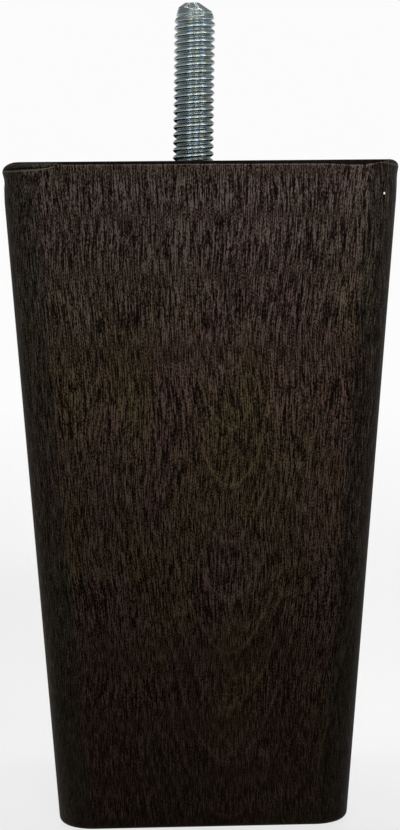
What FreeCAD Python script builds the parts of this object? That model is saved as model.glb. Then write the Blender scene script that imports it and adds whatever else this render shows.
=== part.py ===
import FreeCAD, Part
import math
import os

import Sketcher

# A square tapered furniture leg of solid wood, standing on its foot, with a steel hanger bolt screwed into its top.
# The bolt's two halves are modelled plain, the machine-thread half at its crests and the wood-screw half at its core.
# Millimetres. The origin is the middle of the foot's underside, +Z runs up the leg and out along the bolt, and the
# four flat sides face -Y (front), +X, +Y and -X.

# Driving dimensions: alias, value, what it measures.
SIZES = (
    ("top_side", 70.0, "across the flats of the wide top"),
    ("foot_side", 53.0, "across the flats of the foot"),
    ("leg_height", 121.0, "height of the wood, foot to top"),
    ("corner_radius", 6.35, "roundover of the four long edges, a quarter-inch cutter"),
    ("top_easing", 0.8, "sanded rounding of the top rim"),
    ("foot_easing", 1.2, "sanded rounding of the foot rim"),
    ("bolt_length", 63.5, "hanger bolt, point to tip"),
    ("stud_length", 29.3, "machine-thread half, above the wood"),
    ("stud_diameter", 7.7, "over the crests of the machine thread"),
    ("thread_pitch", 1.411, "crest to crest of the machine thread, 18 to the inch"),
    ("tip_chamfer", 1.7, "chamfer that starts a nut on the stud"),
    ("runout_length", 1.5, "where the thread fades out, sunk in the wood"),
    ("shank_length", 5.0, "plain shank under the run-out"),
    ("core_diameter", 5.5, "core of the wood-screw half"),
    ("point_length", 6.0, "taper of the gimlet point"),
    ("fit_clearance", 0.05, "radial room round the bolt in its hole"),
    ("drill_allowance", 2.0, "pilot hole left open under the point"),
)

# A 60 degree thread is rolled on a blank whose skin becomes the pitch line, three eighths of the sharp V's height
# under the crests. This is that depth as a share of the pitch.
PITCH_LINE_DEPTH = 3.0 / 8.0 * math.sin(math.radians(60.0))

# An edge within this distance of a rim's plane belongs to that rim.
RIM_TOLERANCE = 0.001


def make_sheet(doc):
    """Put the driving dimensions in a sheet, one row each, under the name that the expressions use."""
    sheet = doc.addObject("Spreadsheet::Sheet", "Sizes")
    for row, (alias, value, meaning) in enumerate(SIZES, start=1):
        sheet.set(f"A{row}", meaning)
        sheet.set(f"B{row}", str(value))
        sheet.setAlias(f"B{row}", alias)
    doc.recompute()
    return sheet


def origin_plane(body, role):
    """One of the body's own origin planes."""
    return next(feature for feature in body.Origin.OriginFeatures if feature.Role == role)


def add_profile(body, name, corners):
    """Sketch a closed outline on the upright plane, each corner held at its radius and height expressions."""
    sketch = body.newObject("Sketcher::SketchObject", name)
    sketch.AttachmentSupport = [(origin_plane(body, "XZ_Plane"), "")]
    sketch.MapMode = "FlatFace"

    # The lines start round a unit circle, and their constraints then carry them to their places.
    count = len(corners)
    turn = 2.0 * math.pi / count
    loose = [FreeCAD.Vector(math.cos(turn * i), math.sin(turn * i), 0.0) for i in range(count)]
    for i in range(count):
        sketch.addGeometry(Part.LineSegment(loose[i], loose[(i + 1) % count]), False)
    for i in range(count):
        sketch.addConstraint(Sketcher.Constraint("Coincident", i, 2, (i + 1) % count, 1))

    for i, place in enumerate(corners):
        for direction, expression, start in zip("XY", place, (loose[i].x, loose[i].y)):
            held = sketch.addConstraint(Sketcher.Constraint(f"Distance{direction}", -1, 1, i, 1, start))
            sketch.setExpression(f"Constraints[{held}]", expression)
    return sketch


def add_taper(body, name):
    """A square block between the foot and the top, tapering alike on all four sides."""
    taper = body.newObject("PartDesign::AdditiveWedge", name)
    taper.AttachmentSupport = [(origin_plane(body, "XZ_Plane"), "")]
    taper.MapMode = "FlatFace"
    taper.Ymin = 0.0
    taper.setExpression("Ymax", "Sizes.leg_height")
    for end, side in (("", "foot_side"), ("2", "top_side")):
        for across in "XZ":
            taper.setExpression(f"{across}{end}min", f"-Sizes.{side} / 2")
            taper.setExpression(f"{across}{end}max", f"Sizes.{side} / 2")
    body.Document.recompute()
    return taper


def edges_where(shape, wanted):
    """Names of the edges whose bounding box passes the test."""
    return [f"Edge{i}" for i, edge in enumerate(shape.Edges, start=1) if wanted(edge.BoundBox)]


def add_rounding(body, name, base, edges, radius):
    """Round some edges of the last feature."""
    rounding = body.newObject("PartDesign::Fillet", name)
    rounding.Base = (base, edges)
    rounding.setExpression("Radius", f"Sizes.{radius}")
    body.Document.recompute()
    return rounding


def add_turned(body, kind, name, profile):
    """Turn a profile right round the upright axis, to add or to cut."""
    turned = body.newObject(f"PartDesign::{kind}", name)
    turned.Profile = profile
    turned.ReferenceAxis = (profile, ["V_Axis"])
    turned.Angle = 360.0
    body.Document.recompute()
    return turned


# Radii of the bolt and heights below the top of the wood, shared by the bolt and by the hole that it fills.
STUD_RADIUS = "Sizes.stud_diameter / 2"
SHANK_RADIUS = f"(Sizes.stud_diameter / 2 - {PITCH_LINE_DEPTH} * Sizes.thread_pitch)"
CORE_RADIUS = "Sizes.core_diameter / 2"
SHANK_END = "(Sizes.runout_length + Sizes.shank_length)"
BURIED_LENGTH = "(Sizes.bolt_length - Sizes.stud_length)"
ZERO = "0 mm"


def make_leg_block(doc, sheet):
    """The wooden leg: a square taper with rounded long edges, eased rims and a stepped pilot hole in its top."""
    body = doc.addObject("PartDesign::Body", "leg_block")
    taper = add_taper(body, "taper")
    height = sheet.get("leg_height")
    long_edges = edges_where(taper.Shape, lambda box: box.ZLength > height / 2)
    rounded = add_rounding(body, "long_edges", taper, long_edges, "corner_radius")
    top_rim = edges_where(rounded.Shape, lambda box: box.ZMin > height - RIM_TOLERANCE)
    top_eased = add_rounding(body, "top_rim", rounded, top_rim, "top_easing")
    foot_rim = edges_where(top_eased.Shape, lambda box: box.ZMax < RIM_TOLERANCE)
    eased = add_rounding(body, "foot_rim", top_eased, foot_rim, "foot_easing")

    # The hole follows the bolt at one clearance: a countersunk mouth for the thread's run-out, a step that the
    # shank seats on, and a flat-bottomed pilot for the wood-screw half.
    mouth = "Sizes.leg_height"
    bottom = f"{mouth} - {BURIED_LENGTH} - Sizes.drill_allowance"
    hole = add_profile(body, "pilot_profile", [
        (ZERO, bottom),
        (f"{CORE_RADIUS} + Sizes.fit_clearance", bottom),
        (f"{CORE_RADIUS} + Sizes.fit_clearance", f"{mouth} - {SHANK_END}"),
        (f"{SHANK_RADIUS} + Sizes.fit_clearance", f"{mouth} - {SHANK_END}"),
        (f"{SHANK_RADIUS} + Sizes.fit_clearance", f"{mouth} - Sizes.runout_length"),
        (f"{STUD_RADIUS} + Sizes.fit_clearance", mouth),
        (ZERO, mouth),
    ])
    solid_volume = eased.Shape.Volume
    drilled = add_turned(body, "Groove", "pilot_hole", hole)
    if drilled.Shape.Volume >= solid_volume:
        raise RuntimeError("the pilot hole cut nothing")
    return body


def make_hanger_bolt(doc):
    """The hanger bolt, turned from one profile whose zero height is the top of the wood."""
    body = doc.addObject("PartDesign::Body", "hanger_bolt")
    profile = add_profile(body, "bolt_profile", [
        (ZERO, f"-{BURIED_LENGTH}"),
        (CORE_RADIUS, f"Sizes.point_length - {BURIED_LENGTH}"),
        (CORE_RADIUS, f"-{SHANK_END}"),
        (SHANK_RADIUS, f"-{SHANK_END}"),
        (SHANK_RADIUS, "-Sizes.runout_length"),
        (STUD_RADIUS, ZERO),
        (STUD_RADIUS, "Sizes.stud_length - Sizes.tip_chamfer"),
        (f"{STUD_RADIUS} - Sizes.tip_chamfer", "Sizes.stud_length"),
        (ZERO, "Sizes.stud_length"),
    ])
    add_turned(body, "Revolution", "bolt", profile)
    body.setExpression("Placement.Base.z", "Sizes.leg_height")
    doc.recompute()
    return body


def check(doc, bodies):
    """Stop if a feature failed or a piece isn't one sound solid."""
    for item in doc.Objects:
        if "Invalid" in item.State or "Error" in item.State:
            raise RuntimeError(f"{item.Label} failed: {item.State}")
    for body in bodies:
        if body.Shape.isNull() or not body.Shape.isValid() or len(body.Shape.Solids) != 1:
            raise RuntimeError(f"{body.Label} isn't one sound solid")


def main():
    doc = FreeCAD.newDocument("tapered_leg")
    sheet = make_sheet(doc)
    bodies = [make_leg_block(doc, sheet), make_hanger_bolt(doc)]
    doc.recompute()
    check(doc, bodies)
    os.makedirs("parts", exist_ok=True)
    for body in bodies:
        body.Shape.exportStep(f"parts/{body.Label}.step")
        box = body.Shape.BoundBox
        print(f"{body.Label}: {box.XLength:.3f} x {box.YLength:.3f} x {box.ZLength:.3f} mm, "
              f"{body.Shape.Volume:.1f} mm3")


main()
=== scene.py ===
import math

import bmesh
import bpy
from mathutils import Matrix, Vector


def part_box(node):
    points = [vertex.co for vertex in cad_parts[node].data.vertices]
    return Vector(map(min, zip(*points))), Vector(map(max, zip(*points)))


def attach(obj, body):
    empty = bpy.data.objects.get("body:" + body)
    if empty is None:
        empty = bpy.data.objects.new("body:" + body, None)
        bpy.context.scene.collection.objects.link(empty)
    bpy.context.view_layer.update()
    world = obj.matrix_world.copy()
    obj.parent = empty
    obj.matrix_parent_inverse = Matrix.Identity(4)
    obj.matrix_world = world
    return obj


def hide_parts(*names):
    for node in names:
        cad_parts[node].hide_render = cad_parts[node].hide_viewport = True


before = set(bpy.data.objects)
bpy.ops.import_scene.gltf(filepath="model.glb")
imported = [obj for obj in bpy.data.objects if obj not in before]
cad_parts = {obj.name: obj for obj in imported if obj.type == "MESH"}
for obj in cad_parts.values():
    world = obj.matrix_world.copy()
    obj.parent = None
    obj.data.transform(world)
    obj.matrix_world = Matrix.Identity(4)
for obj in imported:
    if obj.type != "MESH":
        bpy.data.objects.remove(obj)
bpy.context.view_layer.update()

# A square tapered leg of dark stained hardwood with a zinc-plated hanger bolt in its top, in metres.
# The leg stands on its foot at the origin, +Z is up, and the side that the camera sees faces -Y.
MM = 0.001

# Points closer than the first distance are one point. What is nearer a plane than the second lies in it.
SAME_POINT = 0.001 * MM
SAME_LEVEL = 0.01 * MM

# A face is level if its normal is at least this upright.
LEVEL_NORMAL = 0.9999

# The wood's own sizes, sharp before the edges are rounded. The top is a hair smaller than the solid's, to
# stay inside its box.
block_low, block_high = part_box("leg_block")
LEG_HEIGHT = block_high.z - block_low.z
TOP_SIDE = 69.98 * MM
FOOT_SIDE = 53.0 * MM
CORNER_RADIUS = 6.35 * MM
TOP_EASING = 0.8 * MM
FOOT_EASING = 1.2 * MM
CORNER_SEGMENTS = 12
EASING_SEGMENTS = 6

# The bolt's sizes, over its real thread, and those of the hole that it fills.
bolt_low, bolt_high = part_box("hanger_bolt")
BOLT_TIP = bolt_high.z
BOLT_POINT = bolt_low.z
CREST_RADIUS = (bolt_high.x - bolt_low.x) / 2
PITCH = 25.4 * MM / 18
THREAD_DEPTH = 0.50 * PITCH
THREAD_STEPS = 56
SHANK_RADIUS = CREST_RADIUS - 0.3248 * PITCH
CORE_RADIUS = 2.75 * MM
POINT_RADIUS = 0.1 * MM
RUNOUT_LENGTH = 1.5 * MM
SHANK_LENGTH = 5.0 * MM
POINT_LENGTH = 6.0 * MM
STUD_LEAN = math.tan(math.radians(1.1))
DRILL_ALLOWANCE = 2.0 * MM
FIT_CLEARANCE = 0.05 * MM
HOLE_STEPS = 48

# The tip was chamfered off its axis, and the first turns of the thread below it are not rolled full.
TIP_RADIUS = 1.32 * MM
TIP_SLOPE = 1.5
TIP_OFFSET = 0.55 * MM
START_RADIUS = 2.85 * MM
START_SLOPE = 0.27


# Meshes

def finish_piece(name, bm, material):
    """Close the seams, turn every face outwards and make a piece that is smooth but for its level faces."""
    bmesh.ops.remove_doubles(bm, verts=bm.verts, dist=SAME_POINT)
    bmesh.ops.recalc_face_normals(bm, faces=bm.faces)
    bm.normal_update()
    for face in bm.faces:
        face.smooth = abs(face.normal.z) < LEVEL_NORMAL
    mesh = bpy.data.meshes.new(name)
    bm.to_mesh(mesh)
    bm.free()
    mesh.materials.append(material)
    piece = bpy.data.objects.new(name, mesh)
    bpy.context.scene.collection.objects.link(piece)
    return piece


def draw_outline(bm, profile):
    """An open outline in the XZ plane through points of radius and height, ready to spin."""
    verts = [bm.verts.new((radius, 0.0, height)) for radius, height in profile]
    edges = [bm.edges.new(pair) for pair in zip(verts, verts[1:])]
    return verts + edges


def cut_across(bm, place, normal, **cleared):
    """Cut the whole mesh with a plane, and clear one side of it if asked."""
    geometry = bm.verts[:] + bm.edges[:] + bm.faces[:]
    bmesh.ops.bisect_plane(bm, geom=geometry, dist=SAME_POINT, plane_co=place, plane_no=normal, **cleared)


def level_edges(bm, height):
    """The edges that lie in one level plane."""
    return [edge for edge in bm.edges if all(abs(vert.co.z - height) < SAME_LEVEL for vert in edge.verts)]


def side_at(height):
    """Distance across the flats at a height."""
    return FOOT_SIDE + (TOP_SIDE - FOOT_SIDE) * height / LEG_HEIGHT


def round_edges(bm, edges, radius, segments):
    """Round some edges to a radius."""
    bmesh.ops.bevel(bm, geom=edges, offset=radius, offset_type="OFFSET", affect="EDGES", segments=segments,
                    profile=0.5, material=-1)


def smooth_step(value):
    """An even rise from 0 to 1, level at both ends."""
    value = min(max(value, 0.0), 1.0)
    return value * value * (3.0 - 2.0 * value)


# The top rim's rounding, as a share of its size, at places along the front edge in millimetres: heavier at
# the left, where the sander dubbed the corner over, and uneven towards the right.
FRONT_RIM = (
    (-35.0, 2.4), (-28.0, 2.0), (-24.5, 0.9), (0.0, 0.95), (21.0, 1.1), (27.5, 1.5), (31.5, 0.8),
    (35.0, 1.65),
)

# Where the rim is rounded more, it goes this many times as far in as down. The unevenness fades below the
# rim and in from it over the first distance, and from the front to the back over the second.
RIM_REACH = 2.0
RIM_FADE = 5.0 * MM
BACK_FADE = 60.0 * MM

# Cuts that let the rim bend where it is uneven, in millimetres: below the top, across, and front to back.
RIM_CUTS_DOWN = (2.0, 3.0, 4.5, 7.0)
RIM_CUTS_X = (-26.5, -25, -23.5, -15, 0, 15, 22, 24, 26, 27.5)
RIM_CUTS_Y = (-26, -23, -20, 0)

# A narrow border round each flat keeps its shading flat. Of the top, only what lies inside a wider border is
# opened for the hole.
FLAT_BORDER = 0.6 * MM
TOP_BORDER = 1.5 * MM
SMALLEST_FLAT = 0.1 * FOOT_SIDE * FOOT_SIDE


def rim_share(place):
    """How heavily the top rim is rounded at a point of the top, in plan."""
    x = place.x / MM
    (x0, share0), (x1, share1) = next(
        pair for pair in zip(FRONT_RIM, FRONT_RIM[1:]) if x <= pair[1][0] + SAME_LEVEL / MM)
    along_front = share0 + (share1 - share0) * smooth_step((x - x0) / (x1 - x0))
    return 1.0 + (along_front - 1.0) * smooth_step(1.0 - (place.y + TOP_SIDE / 2) / BACK_FADE)


def sand_rim(vert):
    """Move a vertex of the top rim in and down, to the rounding that the rim has there.

    Returns how far round the rim it lies, from 0 on the side to 1 on the top.
    """
    depth = LEG_HEIGHT - vert.co.z
    straight = TOP_SIDE / 2 - CORNER_RADIUS
    beyond = Vector((max(abs(vert.co.x) - straight, 0.0), max(abs(vert.co.y) - straight, 0.0)))
    if depth > TOP_EASING + RIM_FADE or beyond.length == 0.0:
        return float(depth < SAME_LEVEL)
    outward = Vector((math.copysign(beyond.x, vert.co.x), math.copysign(beyond.y, vert.co.y))).normalized()
    inset = max(CORNER_RADIUS - beyond.length, 0.0)
    more = rim_share(vert.co) - 1.0
    fade = smooth_step(1.0 - max(depth - TOP_EASING, inset - TOP_EASING, 0.0) / RIM_FADE)
    vert.co.xy -= outward * max(more, more * RIM_REACH) * min(inset, TOP_EASING) * fade
    vert.co.z -= more * min(depth, TOP_EASING) * fade
    return max(1.0 - depth / TOP_EASING, 0.0)


def make_leg_block(material):
    """The wooden block: a tapered square with routed long edges, eased rims and the bolt's stepped hole."""
    bm = bmesh.new()
    bmesh.ops.create_cube(bm, size=1.0)
    for vert in bm.verts:
        height = LEG_HEIGHT * (vert.co.z + 0.5)
        vert.co = (vert.co.x * side_at(height), vert.co.y * side_at(height), height)
    long_edges = [edge for edge in bm.edges if edge.calc_length() > TOP_SIDE + FOOT_EASING]
    round_edges(bm, long_edges, CORNER_RADIUS, CORNER_SEGMENTS)
    round_edges(bm, level_edges(bm, LEG_HEIGHT), TOP_EASING, EASING_SEGMENTS)
    round_edges(bm, level_edges(bm, 0.0), FOOT_EASING, EASING_SEGMENTS)

    flats = [face for face in bm.faces if face.calc_area() > SMALLEST_FLAT]
    bmesh.ops.inset_individual(bm, faces=flats, thickness=FLAT_BORDER, use_even_offset=True)
    cuts = [(Vector((0, 0, 1)), LEG_HEIGHT - depth * MM) for depth in RIM_CUTS_DOWN]
    cuts += [(Vector((1, 0, 0)), x * MM) for x in RIM_CUTS_X]
    cuts += [(Vector((0, 1, 0)), y * MM) for y in RIM_CUTS_Y]
    for normal, distance in cuts:
        cut_across(bm, normal * distance, normal)

    # The top is opened and filled again round the hole, whose wall is turned from its profile.
    border = TOP_SIDE / 2 - TOP_EASING - TOP_BORDER
    inner_top = [face for face in bm.faces if face.normal.z > LEVEL_NORMAL
                 and max(abs(c) for c in face.calc_center_median().xy) < border]
    bmesh.ops.delete(bm, geom=inner_top, context="FACES")
    rim = [edge for edge in bm.edges if edge.is_boundary]
    shank_end = LEG_HEIGHT - RUNOUT_LENGTH - SHANK_LENGTH
    bottom = BOLT_POINT - DRILL_ALLOWANCE
    wall = draw_outline(bm, (
        (CREST_RADIUS + FIT_CLEARANCE, LEG_HEIGHT),
        (SHANK_RADIUS + FIT_CLEARANCE, LEG_HEIGHT - RUNOUT_LENGTH),
        (SHANK_RADIUS + FIT_CLEARANCE, shank_end),
        (CORE_RADIUS + FIT_CLEARANCE, shank_end),
        (CORE_RADIUS + FIT_CLEARANCE, bottom),
        (0.0, bottom),
    ))
    bmesh.ops.spin(bm, geom=wall, axis=(0, 0, 1), angle=2 * math.pi, steps=HOLE_STEPS, use_merge=True)
    mouth = [edge for edge in level_edges(bm, LEG_HEIGHT) if edge.is_boundary and edge not in rim]
    bmesh.ops.triangle_fill(bm, edges=rim + mouth, use_beauty=True, normal=(0, 0, 1))
    rim_turn = bm.verts.layers.float.new("rim_turn")
    for vert in bm.verts:
        vert[rim_turn] = sand_rim(vert)
    return finish_piece("stained_leg_block", bm, material)


def make_hanger_bolt(material):
    """The bolt: a rolled right-hand thread above the wood, and the plain shank and core buried in it."""
    bm = bmesh.new()

    # The rolled crests are round, an arch of a cosine in section, and meet in a narrow groove.
    shares = (0.0, 0.07, 0.14, 0.21, 0.29, 0.38, 0.46, 0.5)
    flank = [(CREST_RADIUS - THREAD_DEPTH * (1.0 - math.cos(math.pi * share)), share * PITCH)
             for share in shares]
    crest = [(radius, -rise) for radius, rise in flank[:0:-1]] + flank
    start = LEG_HEIGHT - RUNOUT_LENGTH - PITCH
    spare_turns = 2
    turns = math.ceil((BOLT_TIP - start) / PITCH) + spare_turns
    section = draw_outline(bm, [(radius, start + rise) for radius, rise in crest])
    bmesh.ops.spin(bm, geom=section, axis=(0, 0, 1), dvec=(0, 0, PITCH / THREAD_STEPS),
                   angle=2 * math.pi * turns, steps=THREAD_STEPS * turns)
    bmesh.ops.remove_doubles(bm, verts=bm.verts, dist=SAME_POINT)

    for vert in bm.verts:
        radius = vert.co.xy.length
        runout = smooth_step((LEG_HEIGHT - vert.co.z) / RUNOUT_LENGTH)
        wanted = radius + (SHANK_RADIUS - radius) * runout
        depth = max(BOLT_TIP - vert.co.z, 0.0)
        chamfer = TIP_RADIUS + TIP_SLOPE * depth - TIP_OFFSET * vert.co.x / radius
        vert.co.xy *= min(wanted, chamfer, START_RADIUS + START_SLOPE * depth) / radius
    cut_across(bm, (0, 0, LEG_HEIGHT - RUNOUT_LENGTH), (0, 0, 1), clear_inner=True)
    cut_across(bm, (0, 0, BOLT_TIP), (0, 0, 1), clear_outer=True)

    # The buried half is drawn out of the thread's lower end, ring by ring, to the point.
    shank_end = LEG_HEIGHT - RUNOUT_LENGTH - SHANK_LENGTH
    rings = (
        (SHANK_RADIUS, shank_end),
        (CORE_RADIUS, shank_end),
        (CORE_RADIUS, BOLT_POINT + POINT_LENGTH),
        (POINT_RADIUS, BOLT_POINT),
    )
    loop = [edge for edge in level_edges(bm, LEG_HEIGHT - RUNOUT_LENGTH) if edge.is_boundary]
    for radius, height in rings:
        grown = bmesh.ops.extrude_edge_only(bm, edges=loop)["geom"]
        for vert in (item for item in grown if isinstance(item, bmesh.types.BMVert)):
            flat = vert.co.xy.normalized() * radius
            vert.co = (flat.x, flat.y, height)
        loop = [item for item in grown if isinstance(item, bmesh.types.BMEdge) and item.is_boundary]
    bmesh.ops.holes_fill(bm, edges=[edge for edge in bm.edges if edge.is_boundary])

    # The stud was screwed in a little out of true and leans to the right.
    for vert in bm.verts:
        vert.co.x += STUD_LEAN * max(vert.co.z - LEG_HEIGHT, 0.0)
        vert.co.z = min(vert.co.z, BOLT_TIP)
    return finish_piece("zinc_hanger_bolt", bm, material)


# Materials

def linear(hex_colour):
    """An sRGB hex colour as linear red, green, blue and alpha."""
    channels = [int(hex_colour[i:i + 2], 16) / 255 for i in (1, 3, 5)]
    return [c / 12.92 if c <= 0.04045 else ((c + 0.055) / 1.055) ** 2.4 for c in channels] + [1.0]


def add(tree, kind, inputs=None, **settings):
    """Add a node with its settings, set or link its inputs, and return its outputs."""
    made = tree.nodes.new(kind)
    for name, value in settings.items():
        setattr(made, name, value)
    for name, value in (inputs or {}).items():
        if isinstance(value, bpy.types.NodeSocket):
            tree.links.new(value, made.inputs[name])
        else:
            made.inputs[name].default_value = value
    return made.outputs


def new_material(name):
    """An empty material and its node tree."""
    material = bpy.data.materials.new(name)
    material.use_nodes = True
    material.node_tree.nodes.clear()
    return material, material.node_tree


def per_size(*sizes):
    """Texture scale that gives one cell of a pattern these sizes in millimetres."""
    return [1.0 / (size * MM) for size in sizes]


def seen_directly(tree):
    """1 for a ray from the camera, a reflection or glass, and 0 for the light that falls on things."""
    path = add(tree, "ShaderNodeLightPath")
    seen = path["Is Camera Ray"]
    for kind in ("Is Glossy Ray", "Is Transmission Ray"):
        seen = add(tree, "ShaderNodeMath", {0: seen, 1: path[kind]}, operation="MAXIMUM")[0]
    return seen


# Sizes of the wood's pattern, in millimetres. Fibres and pores are drawn wider than the real tenth of a
# millimetre so that the picture can show them.
FIBRE_CELL = (0.17, 0.17, 2.6)
PORE_CELL = (0.17, 0.17, 0.3)
CLOUD_CELL = (10, 10, 24)
SWAY_CELL = 28
RING_WIDTH = 1.5

# How far the fibres wander, and the pith that the growth rings lie round: what moves its foot to the origin,
# and its slope.
SWAY_REACH = 4 * MM
PITH_SHIFT = (-4.5 * MM, 3.1 * MM, 0.0)
PITH_SLOPE = 0.22

# How strongly the patterns that run from 0 to 1 tell in the wood's shade, and its mean. The last number
# spreads the shades towards the dark.
FIBRE_WEIGHT = 3.0
PORE_WEIGHT = 2.4
CLOUD_WEIGHT = 0.22
RING_WEIGHT = 0.12
MEAN_SHADE = 0.40
SHADE_POWER = 1.9

# A small chip near the top of the right corner.
CHIP_PLACE = (31.8 * MM, -33.5 * MM, 115.1 * MM)
CHIP_RADIUS = 0.25 * MM
CHIP_CORE = 0.15 * MM


def stained_hardwood():
    """Stained hardwood, planed and sanded: a dull dark brown, full of fine strokes of fibre."""
    material, tree = new_material("stained_hardwood_sanded")
    place = add(tree, "ShaderNodeTexCoord")
    point = place["Object"]
    across, _, up = add(tree, "ShaderNodeSeparateXYZ", {0: point})

    # The fibres follow the taper and wander a little, along the surface, so the strokes lean here and there.
    normal = add(tree, "ShaderNodeSeparateXYZ", {0: place["Normal"]})
    along = add(tree, "ShaderNodeCombineXYZ", {"X": normal["Y"], "Y": normal["X"]})[0]
    along = add(tree, "ShaderNodeVectorMath", {0: along, 1: (SWAY_REACH, SWAY_REACH, 0)},
                operation="MULTIPLY")[0]
    along = add(tree, "ShaderNodeVectorMath", {0: along}, operation="ABSOLUTE")[0]
    sway = add(tree, "ShaderNodeTexNoise", {"Vector": point, "Scale": per_size(SWAY_CELL)[0], "Detail": 1.0})
    sway = add(tree, "ShaderNodeVectorMath", {0: sway["Color"], 1: (0.5, 0.5, 0.5)}, operation="SUBTRACT")[0]
    grown = add(tree, "ShaderNodeVectorMath", {0: sway, 1: along, 2: point}, operation="MULTIPLY_ADD")[0]
    taper = add(tree, "ShaderNodeMapRange", {
        "Value": up, "From Max": LEG_HEIGHT, "To Min": TOP_SIDE / FOOT_SIDE, "To Max": 1.0})[0]
    drawn = add(tree, "ShaderNodeVectorMath", {0: grown, "Scale": taper}, operation="SCALE")[0]
    fibre = add(tree, "ShaderNodeMapping", {"Vector": drawn, "Scale": per_size(*FIBRE_CELL)})[0]
    fibre = add(tree, "ShaderNodeTexNoise", {"Vector": fibre, "Detail": 1.0, "Scale": 1.0})[0]
    pore = add(tree, "ShaderNodeMapping", {"Vector": drawn, "Scale": per_size(*PORE_CELL)})[0]
    pore = add(tree, "ShaderNodeTexNoise", {"Vector": pore, "Detail": 1.0, "Scale": 1.0})[0]

    # Growth rings round a pith that leans towards the front face, so that they cross it as nested arches.
    # The light line of each ring fades away from the pith.
    pith = add(tree, "ShaderNodeVectorMath", {0: grown, 1: PITH_SHIFT}, operation="ADD")[0]
    pith = add(tree, "ShaderNodeVectorRotate", {"Vector": pith, "Angle": -math.atan(PITH_SLOPE)},
               rotation_type="X_AXIS")[0]
    pith = add(tree, "ShaderNodeVectorMath", {0: pith, 1: (1, 1, 0)}, operation="MULTIPLY")[0]
    radius = add(tree, "ShaderNodeVectorMath", {0: pith}, operation="LENGTH")["Value"]
    young = add(tree, "ShaderNodeMapRange", {
        "Value": radius, "From Min": 14 * MM, "From Max": 34 * MM, "To Min": 1.0, "To Max": 0.2})[0]
    ring = add(tree, "ShaderNodeMath", {0: radius, 1: per_size(RING_WIDTH)[0]}, operation="MULTIPLY")[0]
    ring = add(tree, "ShaderNodeMath", {0: ring}, operation="FRACT")[0]
    ring_line = add(tree, "ShaderNodeMapRange", {
        "Value": ring, "From Max": 0.12, "To Min": 1.0, "To Max": 0.0})[0]
    ring_line = add(tree, "ShaderNodeMath", {0: ring_line, 1: young}, operation="MULTIPLY")[0]

    # Broad cloudy patches, where the stain took more or less.
    cloud = add(tree, "ShaderNodeMapping", {"Vector": grown, "Scale": per_size(*CLOUD_CELL)})[0]
    cloud = add(tree, "ShaderNodeTexNoise", {"Vector": cloud, "Detail": 1.0, "Scale": 1.0})

    # The strokes are fainter on the routed corners and towards the foot. A painted highlight runs as a light
    # line where the routed corners meet the flats, and the corners on the right are darkened with painted
    # shade.
    corner = add(tree, "ShaderNodeMath", {0: normal["X"], 1: normal["Y"]}, operation="MULTIPLY")[0]
    corner = add(tree, "ShaderNodeMath", {0: corner}, operation="ABSOLUTE")[0]
    corner = add(tree, "ShaderNodeMapRange", {"Value": corner, "From Max": 0.16})[0]
    # Painted highlight: a light line where each routed corner meets the flats.
    corner_highlight_line = add(tree, "ShaderNodeMath", {0: corner, 1: 0.5}, operation="PINGPONG")[0]
    plain = add(tree, "ShaderNodeMapRange", {"Value": corner, "To Min": 1.0, "To Max": 0.65})[0]
    low = add(tree, "ShaderNodeMapRange", {"Value": up, "From Max": 60 * MM, "To Min": 0.7})[0]
    plain = add(tree, "ShaderNodeMath", {0: plain, 1: low}, operation="MULTIPLY")[0]
    # Painted shade: the routed corners on the right are darkened, as the light falls on them less.
    right_corner_shade = add(tree, "ShaderNodeMapRange", {"Value": across, "From Max": 30 * MM})[0]
    right_corner_shade = add(tree, "ShaderNodeMath", {0: right_corner_shade, 1: corner}, operation="MULTIPLY")[0]

    # The top rim goes from 0 on the side to 1 on the top. Just under the end grain it carries a light line,
    # partly stain worn thin on the arris and partly a painted highlight there. Towards the left and right,
    # where the front corners are dubbed over, the end grain starts further in, and at the left the shade is
    # darker in a band above the line.
    rim = add(tree, "ShaderNodeAttribute", attribute_name="rim_turn")["Fac"]
    left = add(tree, "ShaderNodeMapRange", {"Value": across, "From Min": -24 * MM, "From Max": -26 * MM})[0]
    right = add(tree, "ShaderNodeMapRange", {"Value": across, "From Min": 30.5 * MM, "From Max": 33 * MM})[0]
    dubbed = add(tree, "ShaderNodeMath", {0: left, 1: right}, operation="MAXIMUM")[0]
    # A light line on the arris: stain worn thin there, brightened further by a painted highlight.
    rim_wear_highlight = add(tree, "ShaderNodeMapRange", {"Value": rim, "From Max": 0.26})[0]
    rim_wear_highlight = add(tree, "ShaderNodeMath", {0: rim_wear_highlight, 1: 0.5}, operation="PINGPONG")[0]
    rim_wear_highlight = add(tree, "ShaderNodeMath", {0: rim_wear_highlight, 1: pore}, operation="MULTIPLY")[0]
    # At the left, a band just above the light line is painted darker.
    left_dark_band = add(tree, "ShaderNodeMapRange", {"Value": rim, "From Min": 0.2, "From Max": 0.5})[0]
    left_dark_band = add(tree, "ShaderNodeMath", {0: left_dark_band, 1: 0.5}, operation="PINGPONG")[0]
    left_dark_band = add(tree, "ShaderNodeMath", {0: left_dark_band, 1: left}, operation="MULTIPLY")[0]
    inner = add(tree, "ShaderNodeMath", {0: dubbed, 1: -0.6, 2: rim}, operation="MULTIPLY_ADD")[0]

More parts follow.
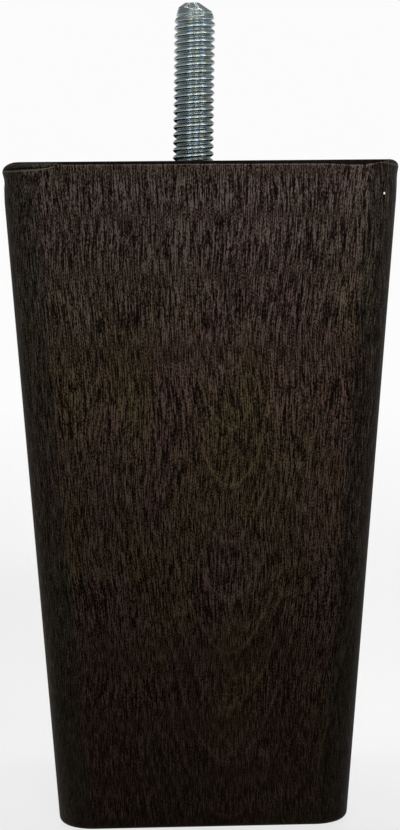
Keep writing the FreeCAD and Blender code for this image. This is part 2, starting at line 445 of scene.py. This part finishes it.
    # All of these add up to one shade, from 0 in the darkest pore to 1 on the lightest fibre. A pattern that
    # averages a half takes half its weight off again, which leaves the mean.
    stroke_mean = 0.5 * (FIBRE_WEIGHT + PORE_WEIGHT)
    patch_mean = 0.5 * (CLOUD_WEIGHT + RING_WEIGHT)
    strokes = add(tree, "ShaderNodeMath", {0: fibre, 1: FIBRE_WEIGHT, 2: -stroke_mean},
                  operation="MULTIPLY_ADD")[0]
    strokes = add(tree, "ShaderNodeMath", {0: pore, 1: PORE_WEIGHT, 2: strokes}, operation="MULTIPLY_ADD")[0]
    strokes = add(tree, "ShaderNodeMath", {0: strokes, 1: plain}, operation="MULTIPLY")[0]
    shade = add(tree, "ShaderNodeMath", {0: strokes, 1: MEAN_SHADE - patch_mean}, operation="ADD")[0]
    terms = (
        (cloud[0], CLOUD_WEIGHT),
        (ring, RING_WEIGHT),
        (ring_line, 0.45),
        (right_corner_shade, -0.13),
        (corner_highlight_line, 0.12),
        (rim_wear_highlight, 3.0),
        (left_dark_band, -0.9),
    )
    for term, weight in terms:
        shade = add(tree, "ShaderNodeMath", {0: term, 1: weight, 2: shade}, operation="MULTIPLY_ADD")[0]
    shade = add(tree, "ShaderNodeMapRange", {"Value": shade, "To Min": 0.04})[0]
    depth = add(tree, "ShaderNodeMath", {0: shade, 1: SHADE_POWER}, operation="POWER")[0]

    # The dark strokes are warm and the light ones greyer, and towards the top a painted sheen greys the
    # light ones further. The stain is yellower in some patches than in others.
    hue = add(tree, "ShaderNodeMapRange", {"Value": cloud["Color"], "From Min": 0.4, "From Max": 0.6})[0]
    stain = add(tree, "ShaderNodeMix", {0: hue, 6: linear("#56372A"), 7: linear("#523A22")},
                data_type="RGBA")[2]
    # Painted sheen: the light strokes turn greyer towards the top.
    sheen_near_top = add(tree, "ShaderNodeMapRange", {"Value": up, "From Min": 80 * MM, "From Max": 110 * MM})[0]
    fleck = add(tree, "ShaderNodeMix", {0: hue, 6: linear("#53443C"), 7: linear("#504634")},
                data_type="RGBA")[2]
    fleck = add(tree, "ShaderNodeMix", {0: sheen_near_top, 6: fleck, 7: linear("#504843")}, data_type="RGBA")[2]
    stain = add(tree, "ShaderNodeMix", {0: shade, 6: stain, 7: fleck}, data_type="RGBA")[2]
    # Painted sheen: the routed corners are greyed towards olive.
    corner_sheen = add(tree, "ShaderNodeMath", {0: corner, 1: 0.4}, operation="MULTIPLY")[0]
    stain = add(tree, "ShaderNodeMix", {0: corner_sheen, 6: stain, 7: linear("#4A4A40")}, data_type="RGBA")[2]
    colour = add(tree, "ShaderNodeVectorMath", {0: stain, "Scale": depth}, operation="SCALE")[0]

    # End grain drinks the stain and goes almost black, and dull, with the rings just showing. The chip is
    # bare wood.
    end_grain = add(tree, "ShaderNodeMapRange", {"Value": inner, "From Min": 0.22, "From Max": 0.34})[0]
    soaked = add(tree, "ShaderNodeMix", {0: ring, 6: linear("#080605"), 7: linear("#120D0A")},
                 data_type="RGBA")[2]
    colour = add(tree, "ShaderNodeMix", {0: end_grain, 6: colour, 7: soaked}, data_type="RGBA")[2]
    roughness = add(tree, "ShaderNodeMapRange", {"Value": end_grain, "To Min": 0.55, "To Max": 0.9})[0]
    chip = add(tree, "ShaderNodeVectorMath", {0: point, 1: CHIP_PLACE}, operation="DISTANCE")["Value"]
    chip = add(tree, "ShaderNodeMapRange", {
        "Value": chip, "From Min": CHIP_RADIUS, "From Max": CHIP_CORE})[0]
    colour = add(tree, "ShaderNodeMix", {0: chip, 6: colour, 7: linear("#E6DAC0")}, data_type="RGBA")[2]

    bump = add(tree, "ShaderNodeBump", {"Height": fibre, "Strength": 0.3, "Distance": 0.04 * MM})[0]
    surface = add(tree, "ShaderNodeBsdfPrincipled", {
        "Base Color": colour, "Roughness": roughness, "Specular IOR Level": 0.03, "Normal": bump})
    add(tree, "ShaderNodeOutputMaterial", {"Surface": surface[0]})
    return material


# Sizes of the plating's fine grain and of its mottle, in millimetres.
PLATE_GRAIN = 0.35
PLATE_MOTTLE = 1.2


def zinc_plate():
    """Zinc plate on rolled steel: a cool, milky metal with a faint mottle of olive from its passivation."""
    material, tree = new_material("zinc_plated_rolled_steel")
    point = add(tree, "ShaderNodeTexCoord")["Object"]
    grain, tint = (
        add(tree, "ShaderNodeTexNoise", {"Vector": point, "Scale": per_size(size)[0], "Detail": 2.0})[0]
        for size in (PLATE_GRAIN, PLATE_MOTTLE))
    tint = add(tree, "ShaderNodeMapRange", {"Value": tint, "From Min": 0.35, "From Max": 0.65})[0]
    colour = add(tree, "ShaderNodeMix", {0: tint, 6: linear("#A0A59C"), 7: linear("#9CACB5")},
                 data_type="RGBA")[2]
    roughness = add(tree, "ShaderNodeMapRange", {
        "Value": grain, "From Min": 0.3, "From Max": 0.7, "To Min": 0.18, "To Max": 0.32})[0]
    bump = add(tree, "ShaderNodeBump", {"Height": grain, "Strength": 0.15, "Distance": 0.03 * MM})[0]
    surface = add(tree, "ShaderNodeBsdfPrincipled", {
        "Base Color": colour, "Metallic": 1.0, "Roughness": roughness, "Normal": bump})
    add(tree, "ShaderNodeOutputMaterial", {"Surface": surface[0]})
    return material


def matt_paint():
    """Matt white paint on the studio's floor and wall: no gloss, and an even white that keeps the shadow."""
    material, tree = new_material("matt_white_paint")
    point = add(tree, "ShaderNodeTexCoord")["Object"]
    paint = add(tree, "ShaderNodeBsdfPrincipled", {
        "Base Color": linear("#EEEEEC"), "Roughness": 0.9, "Specular IOR Level": 0.0})[0]

    # Seen directly, or in the metal, the floor glows white, the more so away from the leg and its shadow.
    away = add(tree, "ShaderNodeVectorMath", {0: point}, operation="LENGTH")["Value"]
    glow = add(tree, "ShaderNodeMapRange", {
        "Value": away, "From Min": 0.1, "From Max": 0.7, "To Min": 0.75, "To Max": 0.97})[0]
    glow = add(tree, "ShaderNodeMath", {0: glow, 1: seen_directly(tree)}, operation="MULTIPLY")[0]
    white = add(tree, "ShaderNodeEmission", {"Color": linear("#FFFFFF"), "Strength": 1.0})[0]
    surface = add(tree, "ShaderNodeMixShader", {0: glow, 1: paint, 2: white})
    add(tree, "ShaderNodeOutputMaterial", {"Surface": surface[0]})
    return material


# Studio

COVE_RADIUS = 1.6
COVE_BEND = 0.35
COVE_HEIGHT = 0.5
COVE_STEPS = 96


def make_cove(material):
    """A round floor that turns up into a low wall all the way round."""
    bm = bmesh.new()
    flat = COVE_RADIUS - COVE_BEND
    bend = [(flat + COVE_BEND * math.sin(math.radians(a)), COVE_BEND * (1 - math.cos(math.radians(a))))
            for a in range(0, 91, 10)]
    outline = draw_outline(bm, [(0.0, 0.0), *bend, (COVE_RADIUS, COVE_HEIGHT)])
    bmesh.ops.spin(bm, geom=outline, axis=(0, 0, 1), angle=2 * math.pi, steps=COVE_STEPS, use_merge=True)
    cove = finish_piece("studio_cove", bm, material)


def make_softbox(name, place, aim, size, power, spread):
    """A rectangular lamp at a place, turned to face a point. The camera doesn't see it."""
    lamp = bpy.data.lights.new(name, "AREA")
    lamp.shape = "RECTANGLE"
    lamp.size, lamp.size_y = size
    lamp.energy = power
    lamp.spread = math.radians(spread)
    holder = bpy.data.objects.new(name, lamp)
    holder.location = place
    holder.rotation_euler = (Vector(aim) - Vector(place)).to_track_quat("-Z", "Y").to_euler()
    holder.visible_camera = False
    bpy.context.scene.collection.objects.link(holder)


def make_camera():
    """The photograph's view: a long lens level with the top of the wood, looking a little down."""
    distance, height = 0.430, 0.12055
    yaw, pan, pitch, roll = (math.radians(a) for a in (2.648, 0.119, 6.324, -0.455))
    lens = bpy.data.cameras.new("photo_view")
    lens.sensor_width = 36.0
    lens.lens = 98.53
    lens.clip_start = 0.01
    camera = bpy.data.objects.new("photo_view", lens)
    camera.matrix_world = (Matrix.Translation((-distance * math.sin(yaw), -distance * math.cos(yaw), height))
                           @ Matrix.Rotation(-yaw - pan, 4, "Z")
                           @ Matrix.Rotation(math.pi / 2 - pitch, 4, "X")
                           @ Matrix.Rotation(roll, 4, "Z"))
    bpy.context.scene.collection.objects.link(camera)
    bpy.context.scene.camera = camera


# Lamps: name, place, point that it faces, width and length, power in watts, spread in degrees. The key is
# gridded to light the top of the front face most, the floor lamps light the floor beside and behind the leg,
# and the fills light its sides and its back. The dull ones show in no reflection.
LAMPS = (
    ("front_key", (0.06, -0.30, 0.30), (0.040, -0.034, 0.150), (0.10, 0.05), 0.055, 36.0),
    ("left_floor", (-0.12, 0.10, 0.40), (-0.09, 0.03, 0.0), (0.10, 0.10), 0.045, 45.0),
    ("right_floor", (0.12, 0.10, 0.40), (0.09, 0.03, 0.0), (0.10, 0.10), 0.045, 45.0),
    ("back_floor", (0.035, 0.45, 0.60), (0.035, 0.45, 0.0), (0.30, 0.30), 0.40, 80.0),
    ("left_fill", (-0.85, 0.20, 0.08), (0.0, 0.0, 0.08), (0.40, 0.15), 0.08, 40.0),
    ("right_fill", (0.85, 0.20, 0.08), (0.0, 0.0, 0.08), (0.40, 0.15), 0.08, 40.0),
    ("back_fill", (0.0, 0.90, 0.08), (0.0, 0.0, 0.08), (0.40, 0.15), 0.08, 40.0),
)
DULL_LAMPS = ("front_key", "left_fill", "right_fill", "back_fill")

# Strips in two arcs in front of the bolt, for the two lines of light on each turn of its thread. An arc has
# its height in degrees, its strips' width and length, their power and their spread.
STRIP_ARCS = ((2.0, (0.333, 0.16), 0.037, 34.0), (48.0, (0.22, 0.12), 0.0125, 30.0))
STRIP_TURNS = (-28.0, 13.0, 54.0)
STRIP_DISTANCE = 0.45

# Strength of the air all round, as light and as it is seen past the wall or in the metal.
AIR_LIGHT = 0.02
AIR_SEEN = 0.3


def light_studio():
    """Hang the lamps, fill the room with air and show colours as they are written."""
    for lamp in LAMPS:
        make_softbox(*lamp)
    for name in DULL_LAMPS:
        bpy.data.objects[name].visible_glossy = False
    aim = Vector((0.0, 0.0, (LEG_HEIGHT + BOLT_TIP) / 2))
    for rise, size, power, spread in STRIP_ARCS:
        for turn in STRIP_TURNS:
            reach = Matrix.Rotation(math.radians(-rise), 3, "X") @ Vector((0.0, -STRIP_DISTANCE, 0.0))
            place = aim + Matrix.Rotation(math.radians(turn), 3, "Z") @ reach
            make_softbox(f"strip_{rise:.0f}_{turn:.0f}", place, aim, size, power, spread)
    world = bpy.data.worlds.new("studio_air")
    world.use_nodes = True
    tree = world.node_tree
    tree.nodes.clear()
    strength = add(tree, "ShaderNodeMapRange", {
        "Value": seen_directly(tree), "To Min": AIR_LIGHT, "To Max": AIR_SEEN})[0]
    air = add(tree, "ShaderNodeBackground", {"Color": linear("#FFFFFF"), "Strength": strength})[0]
    add(tree, "ShaderNodeOutputWorld", {"Surface": air})
    bpy.context.scene.world = world
    bpy.context.scene.view_settings.view_transform = "Standard"


block = make_leg_block(stained_hardwood())
bolt = make_hanger_bolt(zinc_plate())
for piece, node, slot in ((block, "leg_block", "stained_wood"), (bolt, "hanger_bolt", "zinc_plated_steel")):
    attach(piece, "root")
    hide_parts(node)

make_cove(matt_paint())
light_studio()
make_camera()
